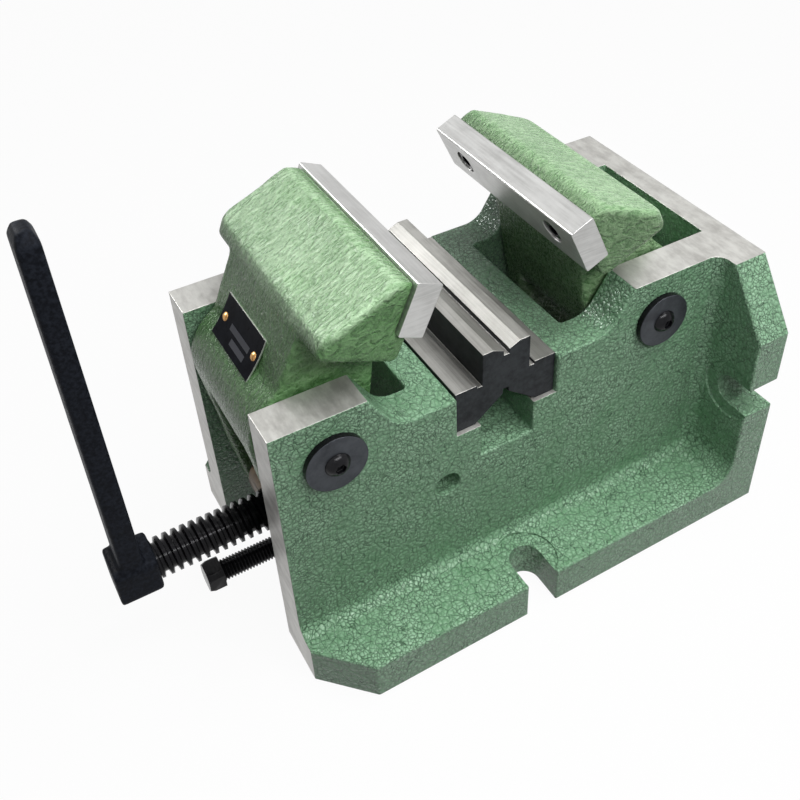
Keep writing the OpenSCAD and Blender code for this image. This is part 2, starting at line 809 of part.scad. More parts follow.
module neck_block_lower() color(bronze) neck_block(false);

module neck_block_upper() color(bronze) neck_block(true);

module neck_block_screws() color(black)
    for (y = [-neck_screw_y, neck_screw_y])
        translate([0, y, screw_z + neck_screw_z])
            cap_screw(small_m, small_m * 1.75, small_m, neck_block_h / 2 + neck_screw_z - 4);

module screw_yoke() color(steel) {
    foot_z = floor_t;
    slot_z = screw_z - tongue_h / 2 - 2.5;
    translate([0, 0, foot_z]) difference() {
        union() {
            translate([-yoke_half, -yoke_y, 0]) cube([upright_len, 2 * yoke_y, yoke_foot_t]);
            translate([0, -yoke_y, 0]) cube([yoke_half + yoke_toe, 2 * yoke_y, yoke_foot_t]);
            for (m = [0, 1]) mirror([0, m, 0]) translate([-yoke_half, upright_gap / 2, 0])
                cube([upright_len, upright_t, upright_z - foot_z]);
        }
        translate([-tongue_w / 2 - tongue_gap, -yoke_y - 1, slot_z - foot_z])
            cube([tongue_w + 2 * tongue_gap, 2 * yoke_y + 2, upright_z]);
        for (y = [-yoke_screw_y, yoke_screw_y]) translate([yoke_screw_x, y, -1])
            cylinder(h = yoke_foot_t + 2, d = screw_m + 2 * hole_gap);
    }
}

module yoke_screws() color(black)
    for (y = [-yoke_screw_y, yoke_screw_y])
        translate([yoke_screw_x, y, floor_t + yoke_foot_t])
            cap_screw(screw_m, cap_d, cap_h, yoke_foot_t + floor_t - 1);

// A rectangle with its corners cut off
module cut_rectangle(w, h, c) {
    polygon([
        [c - w / 2, -h / 2], [w / 2 - c, -h / 2], [w / 2, c - h / 2], [w / 2, h / 2 - c],
        [w / 2 - c, h / 2], [c - w / 2, h / 2], [-w / 2, h / 2 - c], [-w / 2, c - h / 2],
    ]);
}

module crank_handle() color(black) translate([-crank_x, 0, screw_z]) difference() {
    union() {
        along(-hub_len / 2, hub_len / 2) cut_rectangle(hub_w, hub_w, hub_chamfer);
        hull() {
            translate([-arm_shift, 0, hub_w / 2 - 6]) linear_extrude(1)
                cut_rectangle(arm_t, arm_w, arm_chamfer);
            translate([0, 0, crank_reach - 5]) linear_extrude(0.5)
                cut_rectangle(arm_tip_t, arm_tip_w, arm_chamfer);
            translate([0, 0, crank_reach - 0.5]) linear_extrude(0.5)
                cut_rectangle(arm_tip_t - 3.5, arm_tip_w - 6, arm_chamfer);
        }
    }
    translate([hub_len / 2 - square_len - 0.5, -square_w / 2 - fixed_gap, -square_w / 2 - fixed_gap])
        cube([hub_len, square_w + 2 * fixed_gap, square_w + 2 * fixed_gap]);
    translate([0, 0, -hub_w / 2 - 1]) cylinder(h = hub_w / 2, d = screw_m + 2 * hole_gap);
}

module crank_set_screw() color(black) translate([-crank_x, 0, screw_z - square_w / 2])
    rotate([180, 0, 0]) difference() {
        cylinder(h = set_screw_len, d = screw_m);
        translate([0, 0, set_screw_len / 2]) linear_extrude(set_screw_len) hexagon(screw_m / 2);
    }

module centring_bolt() color(steel) translate([0, 0, bolt_z]) rotate([bolt_turn, 0, 0]) {
    bar_x(-bolt_left - 1, -yoke_half - 0.3, bolt_d);
    translate([-bolt_left, 0, 0]) intersection() {
        along(-bolt_head_t, 0) cut_rectangle(bolt_head_w, bolt_head_w, bolt_corner);
        rotate([0, -90, 0])
            cylinder(h = bolt_head_t, d1 = bolt_head_w * 1.5, d2 = bolt_head_w * 1.08);
    }
}

base_casting();
left_pivot_pin();
right_pivot_pin();
pivot_washers();
pivot_screws();
left_jaw_lever();
right_jaw_lever();
left_jaw_plate();
right_jaw_plate();
left_plate_screws();
right_plate_screws();
name_plate();
name_plate_rivets();
v_block();
lead_screw();
left_nut();
right_nut();
left_nut_pins();
right_nut_pins();
neck_block_lower();
neck_block_upper();
neck_block_screws();
screw_yoke();
yoke_screws();
crank_handle();
crank_set_screw();
centring_bolt();
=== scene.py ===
import json
import math

import bmesh
import bpy
from mathutils import Matrix, Vector, noise

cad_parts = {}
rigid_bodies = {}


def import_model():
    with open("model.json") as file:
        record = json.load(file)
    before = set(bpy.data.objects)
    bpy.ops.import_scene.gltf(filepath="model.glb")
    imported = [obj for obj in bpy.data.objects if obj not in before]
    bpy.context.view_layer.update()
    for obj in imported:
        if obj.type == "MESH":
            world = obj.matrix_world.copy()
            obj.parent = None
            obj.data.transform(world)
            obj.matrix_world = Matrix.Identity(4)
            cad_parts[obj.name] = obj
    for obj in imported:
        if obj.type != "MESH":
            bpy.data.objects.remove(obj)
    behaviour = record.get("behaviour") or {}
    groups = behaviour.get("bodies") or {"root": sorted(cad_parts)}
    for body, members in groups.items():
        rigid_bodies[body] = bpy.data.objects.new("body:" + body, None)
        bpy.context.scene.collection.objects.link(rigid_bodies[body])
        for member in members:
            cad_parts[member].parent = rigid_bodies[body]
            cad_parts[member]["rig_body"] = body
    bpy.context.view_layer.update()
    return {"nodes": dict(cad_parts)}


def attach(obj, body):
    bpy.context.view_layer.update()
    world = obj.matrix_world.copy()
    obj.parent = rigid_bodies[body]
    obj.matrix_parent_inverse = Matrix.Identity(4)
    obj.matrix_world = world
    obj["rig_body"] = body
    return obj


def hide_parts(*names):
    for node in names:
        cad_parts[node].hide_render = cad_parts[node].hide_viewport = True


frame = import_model()

# ---------------------------------------------------------------------------
# Base casting
# One grey-iron casting, fettled, brush-coated in green hammertone enamel, then
# milled on the pads, on the block seat, on the crank end and underneath.
# ---------------------------------------------------------------------------
pad_z = 0.1345
seat_ledge_z = 0.0954
crank_end_x = -0.103
plane_slack = 0.0002
ledge_slack = 0.0003
square_on = 0.99
cast_edge = 0.0009
milled_edge = 0.0003
spot_edge = 0.00015
core_edge = 0.0004
soft_edge_angle = math.radians(40)
core_r = 0.006
core_x = 0.0296
core_z = 0.0697
tunnel_half = (0.0395, 0.0345)
tunnel_z = 0.0725
ear_spot_x = 0.1101
foot_spot_r = 0.0148
foot_spot_y = 0.069
foot_spot_z = 0.0185
weld_distance = 3e-5
sliver_width = 1e-5
flat_angle = math.radians(0.35)
enamel_light = (0.350, 0.570, 0.380, 1)
enamel_dark = (0.130, 0.290, 0.150, 1)
vein_green = (0.020, 0.060, 0.028, 1)
milled_grey = (0.60, 0.595, 0.565)
milled_shade = (0.36, 0.35, 0.33)


def add(tree, kind, label="", **settings):
    """Puts a node in a tree, sets its properties, then its unlinked sockets."""
    node = tree.nodes.new(kind)
    node.label = label
    for key, value in settings.items():
        if hasattr(node, key):
            setattr(node, key, value)
        else:
            node.inputs[key.replace("_", " ")].default_value = value
    return node


def maths(tree, operation, a, b=None):
    """A Math node on two links or numbers; gives its output."""
    node = tree.nodes.new("ShaderNodeMath")
    node.operation = operation
    for socket, value in zip(node.inputs, (a, b)):
        if isinstance(value, (int, float)):
            socket.default_value = value
        elif value is not None:
            tree.links.new(value, socket)
    return node.outputs[0]


def blended(tree, factor, a, b, blend="MIX"):
    """A Mix node between two links or colours; gives its colour output."""
    node = tree.nodes.new("ShaderNodeMix")
    node.data_type = "RGBA"
    node.blend_type = blend
    factor_at, first_at, second_at, colour_out = 0, 6, 7, 2
    for index, value in ((factor_at, factor), (first_at, a), (second_at, b)):
        if isinstance(value, bpy.types.NodeSocket):
            tree.links.new(value, node.inputs[index])
        else:
            node.inputs[index].default_value = value
    return node.outputs[colour_out]


def stepped(tree, value, low, high, to_low=0.0, to_high=1.0, smooth=True):
    """Maps a value from one range to another, softly and clamped."""
    node = tree.nodes.new("ShaderNodeMapRange")
    node.interpolation_type = "SMOOTHSTEP" if smooth else "LINEAR"
    tree.links.new(value, node.inputs["Value"])
    limits = {"From Min": low, "From Max": high, "To Min": to_low, "To Max": to_high}
    for name, number in limits.items():
        node.inputs[name].default_value = number
    return node.outputs["Result"]


def new_group(name, inputs, outputs):
    """An empty shader node group with named sockets."""
    tree = bpy.data.node_groups.new(name, "ShaderNodeTree")
    for label, kind, value in inputs:
        socket = tree.interface.new_socket(label, in_out="INPUT", socket_type="NodeSocket" + kind)
        if value is not None:
            socket.default_value = value
    for label, kind in outputs:
        tree.interface.new_socket(label, in_out="OUTPUT", socket_type="NodeSocket" + kind)
    return tree, tree.nodes.new("NodeGroupInput").outputs, tree.nodes.new("NodeGroupOutput").inputs


def new_finish(name, **shader):
    """A material with one Principled shader, its constants on its own sockets."""
    material = bpy.data.materials.new(name)
    material.use_nodes = True
    tree = material.node_tree
    body = next(n for n in tree.nodes if n.type == "BSDF_PRINCIPLED")
    for key, value in shader.items():
        body.inputs[key.replace("_", " ")].default_value = value
    return material, tree, body


def place(tree, group, vector=None, **values):
    """Puts a finish group in a material with its own values."""
    node = tree.nodes.new("ShaderNodeGroup")
    node.node_tree = group
    if vector is None:
        vector = tree.nodes.new("ShaderNodeTexCoord").outputs["Object"]
    tree.links.new(vector, node.inputs["Vector"])
    for key, value in values.items():
        node.inputs[key.replace("_", " ")].default_value = value
    return node.outputs


def summed(tree, *shares):
    """Adds up links, each times its own share; gives the sum's output."""
    total = None
    for value, share in shares:
        part = value if share == 1.0 else maths(tree, "MULTIPLY", value, share)
        total = part if total is None else maths(tree, "ADD", total, part)
    return total


def finish_with(tree, body, colour, roughness, height, depth, strength=1.0):
    """Joins a group's colour, roughness and height to the shader."""
    bump = tree.nodes.new("ShaderNodeBump")
    bump.inputs["Distance"].default_value = depth
    bump.inputs["Strength"].default_value = strength
    tree.links.new(height, bump.inputs["Height"])
    tree.links.new(colour, body.inputs["Base Color"])
    tree.links.new(roughness, body.inputs["Roughness"])
    tree.links.new(bump.outputs["Normal"], body.inputs["Normal"])


def hammertone_group():
    """Crackled enamel: domed cells, dark veins between them, slow shade changes."""
    tree, i, o = new_group(
        "Hammertone enamel",
        [("Vector", "Vector", None),
         ("Light", "Color", enamel_light), ("Dark", "Color", enamel_dark),
         ("Cell", "Float", 0.0019), ("Veins", "Float", 0.7)],
        [("Color", "Color"), ("Roughness", "Float"), ("Height", "Float")],
    )
    wander = add(tree, "ShaderNodeTexNoise", "cells wander", Scale=260.0, Detail=2.0)
    tree.links.new(i["Vector"], wander.inputs["Vector"])
    centred = add(tree, "ShaderNodeVectorMath", operation="SUBTRACT")
    tree.links.new(wander.outputs["Color"], centred.inputs[0])
    centred.inputs[1].default_value = (0.5, 0.5, 0.5)
    small = add(tree, "ShaderNodeVectorMath", operation="SCALE", Scale=0.0024)
    tree.links.new(centred.outputs[0], small.inputs[0])
    bent = add(tree, "ShaderNodeVectorMath", operation="ADD")
    tree.links.new(i["Vector"], bent.inputs[0])
    tree.links.new(small.outputs[0], bent.inputs[1])
    density = maths(tree, "DIVIDE", 1.0, i["Cell"])
    dome = add(tree, "ShaderNodeTexVoronoi", "domes", feature="SMOOTH_F1", Smoothness=0.35)
    edge = add(tree, "ShaderNodeTexVoronoi", "veins", feature="DISTANCE_TO_EDGE")
    coarse = add(tree, "ShaderNodeTexVoronoi", "grouped cells", feature="DISTANCE_TO_EDGE")
    for cells, share in ((dome, 1.0), (edge, 1.0), (coarse, 0.42)):
        tree.links.new(bent.outputs[0], cells.inputs["Vector"])
        tree.links.new(maths(tree, "MULTIPLY", density, share), cells.inputs["Scale"])
    slow = add(tree, "ShaderNodeTexNoise", "slow shade", Scale=55.0, Detail=3.0)
    tree.links.new(i["Vector"], slow.inputs["Vector"])
    fleck = add(tree, "ShaderNodeTexNoise", "metal flake", Scale=2600.0, Detail=1.0)
    tree.links.new(i["Vector"], fleck.inputs["Vector"])
    present = stepped(tree, slow.outputs["Fac"], 0.36, 0.60, 0.3, 1.0)
    thin = stepped(tree, edge.outputs["Distance"], 0.0, 0.08, 1.0, 0.0)
    vein = maths(tree, "MULTIPLY", thin, present)
    seam = stepped(tree, coarse.outputs["Distance"], 0.0, 0.035, 1.0, 0.0)
    dark = maths(tree, "MULTIPLY", maths(tree, "MAXIMUM", vein, seam), i["Veins"])
    rise = stepped(tree, dome.outputs["Distance"], 0.1, 0.8, 1.0, 0.0)
    light = summed(tree, (rise, 0.16), (slow.outputs["Fac"], 0.7), (fleck.outputs["Fac"], 0.3))
    tone = blended(tree, stepped(tree, light, 0.3, 0.85, smooth=False), i["Dark"], i["Light"])
    tree.links.new(blended(tree, dark, tone, vein_green), o["Color"])
    rough = maths(tree, "ADD", summed(tree, (fleck.outputs["Fac"], 0.12), (dark, 0.25)), 0.17)
    tree.links.new(rough, o["Roughness"])
    tree.links.new(summed(tree, (rise, 0.6), (dark, -0.7), (slow.outputs["Fac"], 0.8)), o["Height"])
    return tree


def tooled_group():
    """Cut metal: fine tool marks along one direction, soft stains, small dots."""
    tree, i, o = new_group(
        "Tooled metal",
        [("Vector", "Vector", None), ("Light", "Color", (*milled_grey, 1)),
         ("Dark", "Color", (*milled_shade, 1)), ("Along", "Vector", (30.0, 900.0, 900.0)),
         ("Roughness", "Float", 0.4)],
        [("Color", "Color"), ("Roughness", "Float"), ("Height", "Float")],
    )
    stretched = add(tree, "ShaderNodeVectorMath", operation="MULTIPLY")
    tree.links.new(i["Vector"], stretched.inputs[0])
    tree.links.new(i["Along"], stretched.inputs[1])
    marks = add(tree, "ShaderNodeTexNoise", "tool marks", Scale=1.0, Detail=4.0, Roughness=0.65)
    tree.links.new(stretched.outputs[0], marks.inputs["Vector"])
    stain = add(tree, "ShaderNodeTexNoise", "stains", Scale=70.0, Detail=4.0, Roughness=0.6)
    dots = add(tree, "ShaderNodeTexNoise", "pores", Scale=1500.0, Detail=2.0)
    for texture in (stain, dots):
        tree.links.new(i["Vector"], texture.inputs["Vector"])
    tone = summed(tree, (marks.outputs["Fac"], 0.55), (stain.outputs["Fac"], 0.45))
    base = blended(tree, stepped(tree, tone, 0.3, 0.66), i["Dark"], i["Light"])
    pore = stepped(tree, dots.outputs["Fac"], 0.66, 0.74)
    tree.links.new(blended(tree, maths(tree, "MULTIPLY", pore, 0.5), base, i["Dark"]), o["Color"])
    rough = summed(tree, (i["Roughness"], 1.0), (marks.outputs["Fac"], 0.18),
                   (stain.outputs["Fac"], -0.1))
    tree.links.new(rough, o["Roughness"])
    tree.links.new(summed(tree, (marks.outputs["Fac"], 1.0), (pore, -0.4)), o["Height"])
    return tree


def metal(name, light, dark, along, roughness, relief, strength=0.6, **shader):
    """A cut, ground or blackened metal, with its own two shades and tool marks."""
    material, tree, body = new_finish(name, **shader)
    face = place(tree, tooled, Light=(*light, 1), Dark=(*dark, 1), Along=along, Roughness=roughness)
    finish_with(tree, body, face["Color"], face["Roughness"], face["Height"], relief, strength)
    return material


hammertone = hammertone_group()
tooled = tooled_group()

green_enamel, nodes, shader = new_finish("Green hammertone enamel", Specular_IOR_Level=0.4,
                                         Metallic=0.0)
coat = place(nodes, hammertone, Cell=0.0017, Veins=0.85)
finish_with(nodes, shader, coat["Color"], coat["Roughness"], coat["Height"], depth=0.00038)

milled_iron = metal("Milled iron", light=milled_grey, dark=milled_shade,
                    along=(260, 90, 260), roughness=0.36, relief=0.00002, strength=0.7,
                    Metallic=0.5)


def clean_copy(node):
    """A CAD node's mesh with its triangles merged back to whole faces."""
    bm = bmesh.new()
    bm.from_mesh(frame["nodes"][node].data)
    bmesh.ops.remove_doubles(bm, verts=bm.verts, dist=weld_distance)
    bmesh.ops.dissolve_degenerate(bm, edges=bm.edges, dist=sliver_width)
    bmesh.ops.dissolve_limit(bm, angle_limit=flat_angle, verts=bm.verts, edges=bm.edges)
    bm.normal_update()
    return bm


def set_radii(bm, radius_of):
    """Marks each sharp edge with its radius and gives the largest one."""
    layer = bm.edges.layers.float.new("bevel_weight_edge")
    radii = {}
    for edge in bm.edges:
        if len(edge.link_faces) == 2 and edge.calc_face_angle(0.0) > soft_edge_angle:
            radii[edge] = radius_of(edge)
    widest = max(radii.values(), default=0.0)
    for edge, radius in radii.items():
        edge[layer] = radius / widest if widest else 0.0
    return widest


def settle(piece):
    """Turns a piece's modifiers into its plain mesh."""
    graph = bpy.context.evaluated_depsgraph_get()
    settled = bpy.data.meshes.new_from_object(piece.evaluated_get(graph))
    piece.modifiers.clear()
    piece.data = settled


def as_piece(name, bm, finishes, widest=0.0, segments=2):
    """Turns a mesh into a finished piece: edges rounded, then shaded smooth."""
    mesh = bpy.data.meshes.new(name)
    bm.to_mesh(mesh)
    bm.free()
    for finish in finishes:
        mesh.materials.append(finish)
    for polygon in mesh.polygons:
        polygon.use_smooth = True
    piece = bpy.data.objects.new(name, mesh)
    bpy.context.scene.collection.objects.link(piece)
    if widest > 0:
        bevel = piece.modifiers.new("rounded edges", "BEVEL")
        bevel.limit_method = "WEIGHT"
        bevel.width = widest
        bevel.segments = segments
        bevel.use_clamp_overlap = False
    mesh.set_sharp_from_angle(angle=soft_edge_angle)
    weighted = piece.modifiers.new("flat faces stay flat", "WEIGHTED_NORMAL")
    weighted.keep_sharp = True
    weighted.weight = 90
    settle(piece)
    piece.data.name = name
    return piece


def stands_for(piece, node):
    """Seats a piece on the body of the CAD node that it stands for."""
    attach(piece, frame["nodes"][node]["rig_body"])
    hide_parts(node)
    return piece


def is_milled(face):
    """True on the faces of the base that are machined after painting."""
    centre, normal = face.calc_center_median(), face.normal
    if normal.z > square_on:
        return centre.z > pad_z - plane_slack or abs(centre.z - seat_ledge_z) < ledge_slack
    at_crank_end = normal.x < -square_on and centre.x < crank_end_x + plane_slack
    return at_crank_end or (normal.z < -square_on and centre.z < plane_slack)


def is_ear_spot(face):
    """True on the flat ring round a clamping slot of the end plate."""
    at_spot = abs(face.calc_center_median().x - ear_spot_x) < ledge_slack
    return at_spot and abs(face.normal.x) > square_on


def base_edge(edge):
    """Milled and spot faces have crisp edges, the tunnel sharp ones; cast edges are round."""
    x, y, z = (edge.verts[0].co + edge.verts[1].co) / 2
    if any(is_ear_spot(face) for face in edge.link_faces):
        return spot_edge
    if abs(x) < tunnel_half[0] and abs(y) < tunnel_half[1] and z < tunnel_z:
        return 0.0
    if abs(x + core_x) < core_r and abs(z - core_z) < core_r:
        return core_edge
    if z > foot_spot_z and math.hypot(x, abs(y) - foot_spot_y) < foot_spot_r:
        return spot_edge
    return milled_edge if any(is_milled(face) for face in edge.link_faces) else cast_edge


casting = clean_copy("base_casting")
for face in casting.faces:
    face.material_index = 1 if is_milled(face) else 0
widest = set_radii(casting, base_edge)
base = as_piece("base_casting_painted", casting, [green_enamel, milled_iron], widest, segments=3)
stands_for(base, "base_casting")

# ---------------------------------------------------------------------------
# Pivot pins, washers and button screws
# Each jaw turns on a ground pin through both cheeks; a blackened washer and a
# button-head screw at each end hold it in.
# ---------------------------------------------------------------------------
pin_edge = 0.0004
washer_edge = 0.0004
screw_edge = 0.0003
facing_out = 0.8
ground_pin = metal("Ground pin steel", light=(0.66, 0.66, 0.65), dark=(0.45, 0.45, 0.44),
                   along=(700, 60, 700), roughness=0.2, relief=0.00001, strength=0.5, Metallic=1.0)
blackened_washer = metal("Blackened washer steel", light=(0.060, 0.066, 0.076),
                         dark=(0.024, 0.027, 0.033), along=(160, 160, 160), roughness=0.33,
                         relief=0.00003, Metallic=0.5, Specular_IOR_Level=0.25)
black_screw = metal("Black oxide screw", light=(0.012, 0.012, 0.014), dark=(0.004, 0.004, 0.005),
                    along=(400, 400, 400), roughness=0.16, relief=0.00001, strength=0.5,
                    Metallic=0.3, Specular_IOR_Level=0.18)


def dressed(node, name, finishes, radius, segments=2):
    """The usual way of a small part: its CAD form with broken edges and a finish."""
    bm = clean_copy(node)
    widest = set_radii(bm, lambda edge: radius)
    return stands_for(as_piece(name, bm, finishes, widest, segments), node)


for side in ("left", "right"):
    dressed(side + "_pivot_pin", side + "_pivot_pin_ground", [ground_pin], pin_edge)
bm = clean_copy("pivot_washers")
for face in bm.faces:
    face.material_index = 0 if abs(face.normal.y) > facing_out else 1
widest = set_radii(bm, lambda edge: washer_edge)
washers = as_piece("pivot_washers_black", bm, [blackened_washer, black_screw], widest, segments=3)
stands_for(washers, "pivot_washers")
dressed("pivot_screws", "pivot_button_screws", [black_screw], screw_edge, segments=3)

# ---------------------------------------------------------------------------
# Jaw levers
# Two bell-crank castings in the same enamel, laid on thick, so that it dried
# in wrinkles down the heads' slopes; the slopes carry a painted highlight, the
# rest of each lever painted shade, and the left lever's coat is painted lighter
# than the right's; all edges are cast round. The forked lower arms hold the
# trunnion nuts.
# ---------------------------------------------------------------------------
jaw_tilt = math.radians(24.4)
cast_grain = 0.0008
lever_wave = 0.0004
wave_density = 90
wrinkle_stretch = (0.3, 1.0, 0.5)
wrinkle_width = 0.0011
# Green of the painted shade in the wrinkles' hollows, partly enamel pooled there.
hollow_shade_green = (0.030, 0.085, 0.032, 1)
slope_height = 0.1823
slope_fade = (0.0045, 0.0008)
# Per side: light and dark coat colours and a painted shade; the left coat is painted lighter than
# the right's as a painted highlight.
lever_coats_painted_light = {
    "left": ((0.640, 0.880, 0.580, 1), (0.200, 0.400, 0.170, 1), (0.30, 0.42, 0.27, 1)),
    "right": ((0.460, 0.680, 0.400, 1), (0.130, 0.290, 0.110, 1), (0.60, 0.62, 0.58, 1)),
}


def wrinkle_group():
    """Thick enamel dried in fine grains, drawn out to wrinkles along one slope."""
    tree, i, o = new_group(
        "Wrinkled enamel",
        [("Vector", "Vector", None),
         ("Light", "Color", enamel_light), ("Dark", "Color", enamel_dark),
         ("Stretch", "Vector", (0.3, 1.0, 0.3)), ("Grain", "Float", 0.0007)],
        [("Color", "Color"), ("Roughness", "Float"), ("Height", "Float")],
    )
    drawn = add(tree, "ShaderNodeVectorMath", operation="MULTIPLY")
    tree.links.new(i["Vector"], drawn.inputs[0])
    tree.links.new(i["Stretch"], drawn.inputs[1])
    fineness = maths(tree, "DIVIDE", 1.0, i["Grain"])
    ridges = add(tree, "ShaderNodeTexNoise", "wrinkles", Detail=2.0, Roughness=0.5, Distortion=0.9)
    grains = add(tree, "ShaderNodeTexNoise", "grains", Detail=2.0, Roughness=0.55, Distortion=0.4)
    for texture, vector, share in ((ridges, drawn.outputs[0], 0.75), (grains, i["Vector"], 1.0)):
        tree.links.new(vector, texture.inputs["Vector"])
        tree.links.new(maths(tree, "MULTIPLY", fineness, share), texture.inputs["Scale"])
    slow = add(tree, "ShaderNodeTexNoise", "slow shade", Scale=48.0, Detail=3.0)
    tree.links.new(i["Vector"], slow.inputs["Vector"])
    ridge = stepped(tree, ridges.outputs["Fac"], 0.34, 0.66)
    grain = stepped(tree, grains.outputs["Fac"], 0.32, 0.68)
    mixed = summed(tree, (ridge, 0.72), (grain, 0.28))
    # Ridges lighter, hollows darker, following the relief: partly painted shade of the wrinkles,
    # partly enamel pooled thicker in the hollows.
    tone = summed(tree, (mixed, 0.45), (slow.outputs["Fac"], 0.55))
    base = blended(tree, stepped(tree, tone, 0.15, 0.85, smooth=False), i["Dark"], i["Light"])
    # The deepest hollows darker still: painted shade, partly enamel pooled there.
    hollow_shade = maths(tree, "MULTIPLY", stepped(tree, mixed, 0.06, 0.24, 1.0, 0.0), 0.25)
    tree.links.new(blended(tree, hollow_shade, base, hollow_shade_green), o["Color"])
    rough = maths(tree, "ADD", maths(tree, "MULTIPLY", grains.outputs["Fac"], 0.1), 0.22)
    tree.links.new(rough, o["Roughness"])
    tree.links.new(summed(tree, (mixed, 1.0), (slow.outputs["Fac"], 0.8)), o["Height"])
    return tree


wrinkled = wrinkle_group()


def lever_enamel(side):
    """The lever's coat, wrinkled along the slope of its head, with a painted highlight up there and
    painted shade below.
    """
    sign = 1 if side == "left" else -1
    light, dark, shade = lever_coats_painted_light[side]
    material, tree, body = new_finish("Green enamel " + side + " lever", Specular_IOR_Level=0.32)
    mapping = tree.nodes.new("ShaderNodeMapping")
    tree.links.new(tree.nodes.new("ShaderNodeTexCoord").outputs["Object"], mapping.inputs["Vector"])
    mapping.inputs["Rotation"].default_value = (0, sign * jaw_tilt, 0)
    coat = place(tree, wrinkled, mapping.outputs["Vector"], Light=light, Dark=dark,
                 Stretch=wrinkle_stretch, Grain=wrinkle_width)
    along = tree.nodes.new("ShaderNodeSeparateXYZ")
    tree.links.new(mapping.outputs["Vector"], along.inputs[0])
    fade_start, fade_end = (slope_height - fade for fade in slope_fade)
    # Painted highlight on the head's slope: above it the coat stays full, below it the painted
    # shade darkens it.
    on_top = stepped(tree, along.outputs["Z"], fade_start, fade_end)
    slope_highlight_rest_shade = blended(tree, on_top, shade, (1, 1, 1, 1))
    colour = blended(tree, 1.0, coat["Color"], slope_highlight_rest_shade, blend="MULTIPLY")
    finish_with(tree, body, colour, coat["Roughness"], coat["Height"], depth=0.0005)
    return material


def cast_skin(piece, flow_steps, wave):
    """Gives a rough casting its skin: edges flow round, faces wave a little."""
    skin = piece.modifiers.new("cast skin", "REMESH")
    skin.mode = "VOXEL"
    skin.voxel_size = cast_grain
    flow = piece.modifiers.new("edges flow", "SMOOTH")
    flow.factor = 0.5
    flow.iterations = flow_steps
    fewer = piece.modifiers.new("fewer faces", "DECIMATE")
    fewer.ratio = 0.3
    settle(piece)
    verts = piece.data.vertices
    waves = [vert.normal * wave * noise.noise(vert.co * wave_density) for vert in verts]
    for vert, shift in zip(verts, waves):
        vert.co += shift
    for polygon in piece.data.polygons:
        polygon.use_smooth = True
    return piece


for side in ("left", "right"):
    node = side + "_jaw_lever"
    lever = as_piece(node + "_painted", clean_copy(node), [lever_enamel(side)])
    stands_for(cast_skin(lever, flow_steps=26, wave=lever_wave), node)

# ---------------------------------------------------------------------------
# Jaw plates
# Flat-ground hardened plates, each held to its lever's head by two black
# socket-head screws that are sunk in counterbores.
# ---------------------------------------------------------------------------
plate_edge = 0.00025
ground_plate = metal("Ground jaw plate steel", light=(0.56, 0.56, 0.55), dark=(0.40, 0.40, 0.39),
                     along=(60, 35, 1400), roughness=0.32, relief=0.000012, Metallic=0.85)

for side in ("left", "right"):
    dressed(side + "_jaw_plate", side + "_jaw_plate_ground",
            [ground_plate], plate_edge)
    dressed(side + "_plate_screws", side + "_plate_cap_screws",
            [black_screw], screw_edge)

# ---------------------------------------------------------------------------
# Name plate
# A thin black plate bent to the left lever's hollow neck, with a bright edge
# and two plain grey fields, pinned by two brass rivets.
# ---------------------------------------------------------------------------
pivot_x = 0.0785
pivot_z = 0.1126
rim_edge = 0.0001
plate_fields = ((-0.0073, 0.0107, 0.0176, 0.0203), (-0.0066, 0.0064, 0.0132, 0.0159))
field_grey = (0.15, 0.155, 0.175, 1)
plate_light = (0.016, 0.018, 0.024, 1)
plate_dark = (0.005, 0.005, 0.008, 1)
upright_head = Matrix.Rotation(-jaw_tilt, 3, "Y")
head_origin = upright_head @ Vector((-pivot_x, 0, pivot_z))


def within(tree, value, low, high):
    """One between two limits, nought outside them."""
    above = maths(tree, "GREATER_THAN", value, low)
    return maths(tree, "MULTIPLY", above, maths(tree, "LESS_THAN", value, high))


plate_face, nodes, shader = new_finish("Black name plate", Metallic=0.0, Specular_IOR_Level=0.02)
turned = nodes.nodes.new("ShaderNodeMapping")
nodes.links.new(nodes.nodes.new("ShaderNodeTexCoord").outputs["Object"], turned.inputs["Vector"])
turned.inputs["Rotation"].default_value = (0, -jaw_tilt, 0)
turned.inputs["Location"].default_value = -head_origin
parts = nodes.nodes.new("ShaderNodeSeparateXYZ")
nodes.links.new(turned.outputs["Vector"], parts.inputs[0])
printed = None
for y_low, y_high, z_low, z_high in plate_fields:
    across = within(nodes, parts.outputs["Y"], y_low, y_high)
    field = maths(nodes, "MULTIPLY", across, within(nodes, parts.outputs["Z"], z_low, z_high))
    printed = field if printed is None else maths(nodes, "MAXIMUM", printed, field)
face = place(nodes, tooled, Light=plate_light, Dark=plate_dark, Along=(300, 300, 300),
             Roughness=0.26)
shade = blended(nodes, printed, face["Color"], field_grey)
finish_with(nodes, shader, shade, face["Roughness"], face["Height"], depth=0.00001, strength=0.5)
plate_rim = metal("Bare plate edge", light=(0.80, 0.82, 0.78), dark=(0.55, 0.56, 0.54),
                  along=(300, 60, 300), roughness=0.3, relief=0.00001, strength=0.5, Metallic=0.8)
brass_rivet = metal("Brass rivet", light=(0.62, 0.36, 0.14), dark=(0.34, 0.17, 0.06),
                    along=(500, 500, 500), roughness=0.25, relief=0.00001, strength=0.5,
                    Metallic=1.0)
bm = clean_copy("name_plate")
for face in bm.faces:
    face.material_index = 0 if abs((upright_head @ face.normal).x) > facing_out else 1
widest = set_radii(bm, lambda edge: rim_edge)
name_plate = as_piece("name_plate_black", bm, [plate_face, plate_rim], widest)
stands_for(name_plate, "name_plate")

rivet_middle_y = 0.0028
rivet_spread = 1.3
bm = clean_copy("name_plate_rivets")
for near in (True, False):
    head = [v for v in bm.verts if (v.co.y < rivet_middle_y) == near]
    middle = sum((v.co for v in head), Vector()) / len(head)
    for vert in head:
        vert.co = middle + (vert.co - middle) * rivet_spread
rivets = as_piece("name_plate_rivets_brass", bm, [brass_rivet])
stands_for(rivets, "name_plate_rivets")

